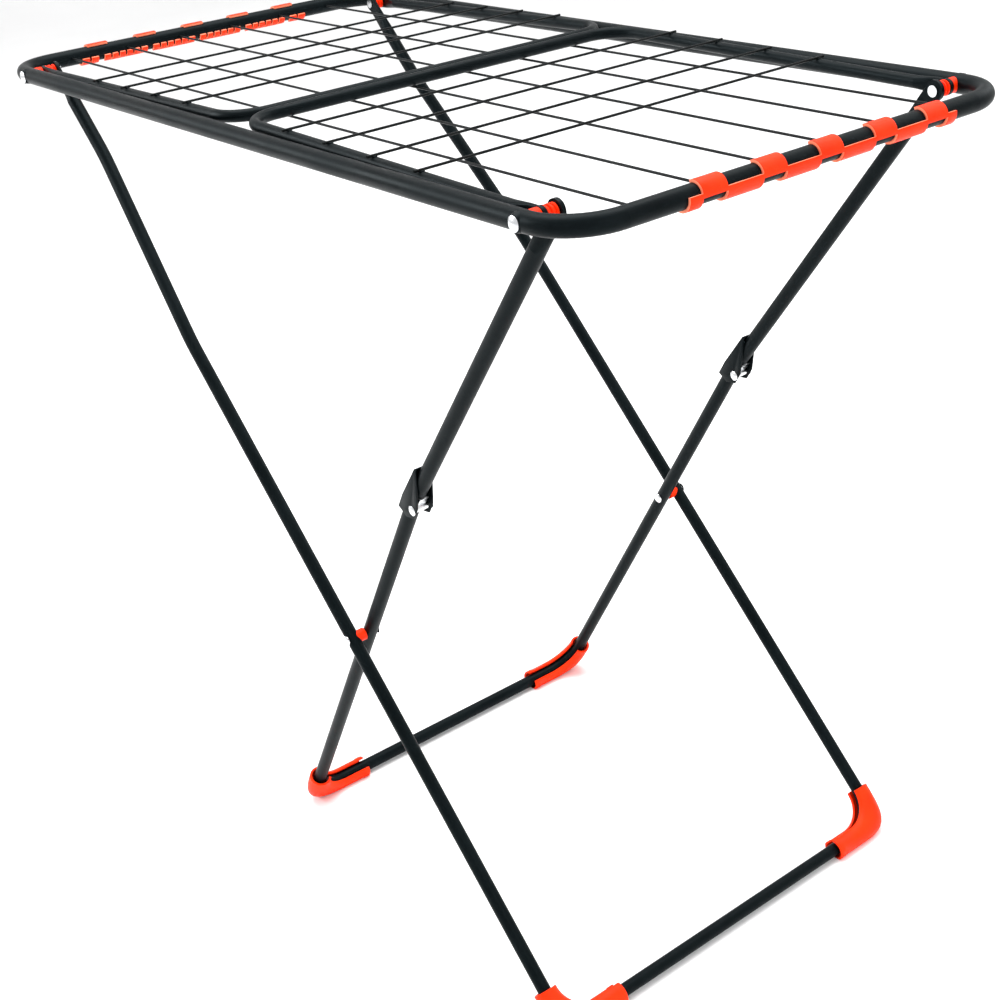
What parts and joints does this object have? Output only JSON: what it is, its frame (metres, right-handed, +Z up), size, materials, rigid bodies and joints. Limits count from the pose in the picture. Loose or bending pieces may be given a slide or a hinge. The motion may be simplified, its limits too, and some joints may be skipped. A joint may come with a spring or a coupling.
{
  "type": "clothes drying rack",
  "caption": "Free-standing winged clothes drying rack with a bent tube frame, drying wires, fold-out wings and a crossed leg that folds at the knees.",
  "frame": {"origin": "on the floor, under the middle of the top frame", "axes": "+X along the rack's length, from the end where the outer leg is pivoted towards the end with the knee links; +Y across its width; +Z up"},
  "size_m": [1.0728, 0.5232, 0.9184],
  "materials": {
    "tube_enamel": "satin black powder coat",
    "wire_coating": "satin black coated wire",
    "orange_plastic": "moulded orange polypropylene",
    "bright_steel": "bright zinc-plated steel",
    "black_cap": "blackened spring steel",
    "plain_steel": "plain rolled steel, hidden inside the tube"
  },
  "bodies": {
    "top_frame": {"end_strip_left": "orange_plastic", "end_strip_right": "orange_plastic", "frame_joint_sleeve": "plain_steel", "leg_bushes": "orange_plastic", "long_wire_1": "wire_coating", "long_wire_2": "wire_coating", "long_wire_3": "wire_coating", "long_wire_4": "wire_coating", "long_wire_5": "wire_coating", "long_wire_6": "wire_coating", "main_frame_tube": "tube_enamel", "pivot_rivets": "bright_steel", "wing_spacers": "orange_plastic"},
    "wing_left": {"wing_left_tube": "tube_enamel", "wing_left_wire_1": "wire_coating", "wing_left_wire_2": "wire_coating", "wing_left_wire_3": "wire_coating", "wing_left_wire_4": "wire_coating"},
    "wing_right": {"wing_right_tube": "tube_enamel", "wing_right_wire_1": "wire_coating", "wing_right_wire_2": "wire_coating", "wing_right_wire_3": "wire_coating", "wing_right_wire_4": "wire_coating"},
    "outer_leg": {"cross_bolts": "bright_steel", "cross_bushes": "orange_plastic", "outer_foot_cover_far": "orange_plastic", "outer_foot_cover_near": "orange_plastic", "outer_leg_tube": "tube_enamel"},
    "links": {"knee_sleeves": "bright_steel", "link_far": "tube_enamel", "link_near": "tube_enamel"},
    "inner_leg": {"cross_bolt_ends": "bright_steel", "inner_foot_cover_far": "orange_plastic", "inner_foot_cover_near": "orange_plastic", "inner_leg_tube": "tube_enamel", "knee_bolt_caps": "black_cap", "knee_bolts": "bright_steel", "knee_bracket_far": "tube_enamel", "knee_bracket_near": "tube_enamel"}
  },
  "joints": [
    {"name": "leg_fold", "type": "hinge", "parent": "top_frame", "child": "outer_leg", "pos_m": [-0.469, 0, 0.904], "axis": [0, -1, 0], "range_deg": [0, 44.2]},
    {"name": "link_fold", "type": "hinge", "parent": "top_frame", "child": "links", "pos_m": [0.469, 0, 0.904], "axis": [0, -1, 0], "range_deg": [-50.14, 0]},
    {"name": "knee_fold", "type": "hinge", "parent": "links", "child": "inner_leg", "pos_m": [0.20284, 0, 0.5612], "axis": [0, -1, 0], "range_deg": [0, 173.5]},
    {"name": "wing_left_fold", "type": "hinge", "parent": "top_frame", "child": "wing_left", "pos_m": [-0.469, 0, 0.904], "axis": [0, -1, 0], "range_deg": [0, 156]},
    {"name": "wing_right_fold", "type": "hinge", "parent": "top_frame", "child": "wing_right", "pos_m": [0.469, 0, 0.904], "axis": [0, 1, 0], "range_deg": [0, 156]}
  ],
  "couplings": [
    {"joint": "link_fold", "follows": "leg_fold", "ratio": -1.1339},
    {"joint": "knee_fold", "follows": "leg_fold", "ratio": 3.9249}
  ]
}
